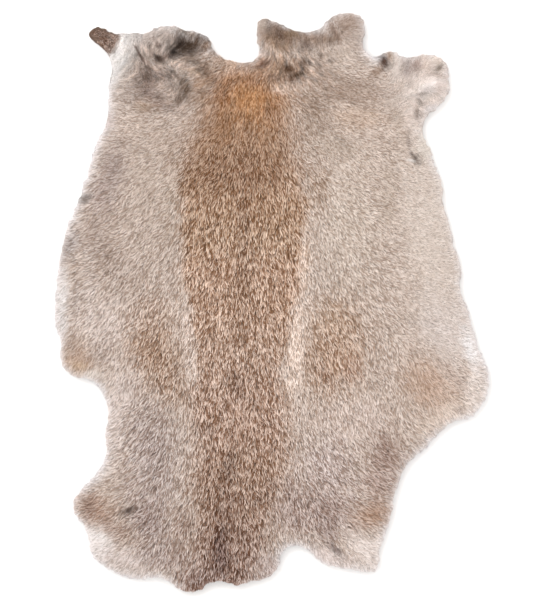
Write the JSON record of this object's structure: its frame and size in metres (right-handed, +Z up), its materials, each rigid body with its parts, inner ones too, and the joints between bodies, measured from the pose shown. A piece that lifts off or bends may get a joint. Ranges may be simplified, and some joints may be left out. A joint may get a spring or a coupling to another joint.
{
  "type": "rabbit pelt",
  "caption": "Soft tanned rabbit pelt lying flat with its fur up, its edge uneven with the neck, the leg flaps and the tail.",
  "frame": {"origin": "under the middle of the pelt's outline, on the plane of the skin's flat underside", "axes": "+Y towards the neck, +X to the right when the fur is seen from above with the neck up, +Z up through the fur"},
  "size_m": [0.3058, 0.4064, 0.0177],
  "materials": {
    "fur": "soft dense fur, grey brown with a browner back, pale at the edges",
    "skin": "matt tanned skin"
  },
  "bodies": {
    "root": {"pelt": "fur"}
  },
  "joints": []
}
